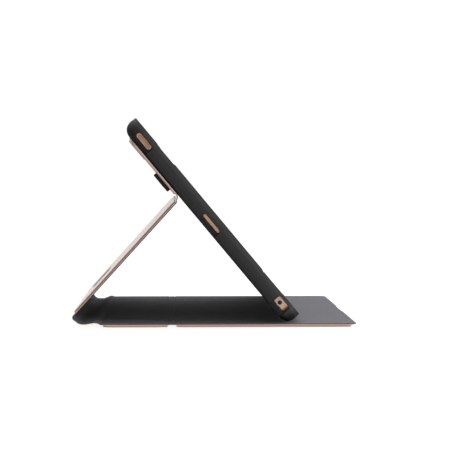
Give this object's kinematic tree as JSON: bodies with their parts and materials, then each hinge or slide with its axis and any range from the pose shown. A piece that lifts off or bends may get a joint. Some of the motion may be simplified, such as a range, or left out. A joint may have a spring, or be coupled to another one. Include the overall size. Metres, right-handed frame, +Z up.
{
  "type": "tablet folio case",
  "caption": "Folding folio case for a tablet, standing open on its rear panel, with a soft moulded tray, a two-panel cover and a closure band.",
  "frame": {"origin": "middle of the footprint, on the surface the case stands on", "axes": "+X along the width, the side cut-outs for power and jack at -X; -Y towards the user, +Z up; folded open as a stand"},
  "size_m": [0.25, 0.1951, 0.1433],
  "materials": {
    "tray_rubber": "matt black moulded soft rubber with a fine satin grain",
    "carrier_gold": "satin rose gold coated hard shell",
    "cap_gold": "brushed rose gold cap",
    "steel_ring": "bright turned ring",
    "micro_lining": "charcoal napped microfibre",
    "skin_rose": "satin metallic rose gold leatherette with a fine pebble",
    "board": "bare stiffener board",
    "hinge_cloth": "woven crease tape",
    "elastic": "ribbed black elastic webbing",
    "pad_foam": "soft closed cell foam",
    "magnet": "nickel plated magnet",
    "badge_dark": "plain dark pressed patch, no mark"
  },
  "bodies": {
    "rear_cover": {"rear_cover_skin": "skin_rose", "rear_cover_board": "board", "rear_cover_lining": "micro_lining"},
    "front_cover": {"front_cover_skin": "skin_rose", "front_cover_board": "board", "front_cover_lining": "micro_lining", "wake_magnets": "magnet"},
    "spine": {"spine_skin": "skin_rose", "spine_lining": "micro_lining"},
    "hem": {"hem_strip": "hinge_cloth"},
    "kick_panel": {"kick_skin": "skin_rose", "kick_board": "board", "kick_lining": "micro_lining", "blank_badge": "badge_dark"},
    "back_hinge": {"back_hinge_strip": "hinge_cloth"},
    "tray": {"tray_bumper": "tray_rubber", "carrier_shell": "carrier_gold", "tray_lining": "micro_lining", "corner_pads": "pad_foam", "jack_eyelet": "steel_ring", "jack_plug": "tray_rubber", "camera_ring": "tray_rubber", "upper_skin": "skin_rose", "upper_board": "board", "band_anchors": "hinge_cloth", "closure_band": "elastic"},
    "power_button": {"power_cap": "cap_gold"}
  },
  "joints": [
    {"name": "lay_back", "type": "hinge", "parent": "spine", "child": "hem", "pos_m": [0, 0.09608, 0.00535], "axis": [-1, 0, 0], "range_deg": [0, 111.7]},
    {"name": "stand_angle", "type": "hinge", "parent": "hem", "child": "kick_panel", "pos_m": [0, 0.0966, 0.0083], "axis": [-1, 0, 0], "range_deg": [-15, 13]},
    {"name": "cover_fold", "type": "hinge", "parent": "rear_cover", "child": "front_cover", "pos_m": [0, 0.02865, 0.00285], "axis": [-1, 0, 0], "range_deg": [0, 78.19]},
    {"name": "spine_fold", "type": "hinge", "parent": "rear_cover", "child": "spine", "pos_m": [0, 0.0777, 0.0022], "axis": [-1, 0, 0], "range_deg": [0, 6.45]},
    {"name": "back_fold_lower", "type": "hinge", "parent": "kick_panel", "child": "back_hinge", "pos_m": [0, 0.02586, 0.08631], "axis": [-1, 0, 0], "range_deg": [-25.09, 28.95]},
    {"name": "back_fold_upper", "type": "hinge", "parent": "back_hinge", "child": "tray", "pos_m": [0, 0.02497, 0.08917], "axis": [-1, 0, 0], "range_deg": [-55.85, 0]},
    {"name": "power_press", "type": "slide", "parent": "tray", "child": "power_button", "axis": [1, 0, 0], "range_m": [0, 0.0006], "stiffness_N_per_m": 600}
  ],
  "couplings": [
    {"joint": "cover_fold", "follows": "lay_back", "ratio": 0.7},
    {"joint": "spine_fold", "follows": "lay_back", "ratio": 0.0577},
    {"joint": "back_fold_upper", "follows": "lay_back", "ratio": -0.5},
    {"joint": "back_fold_lower", "follows": "stand_angle", "ratio": -1.93}
  ]
}
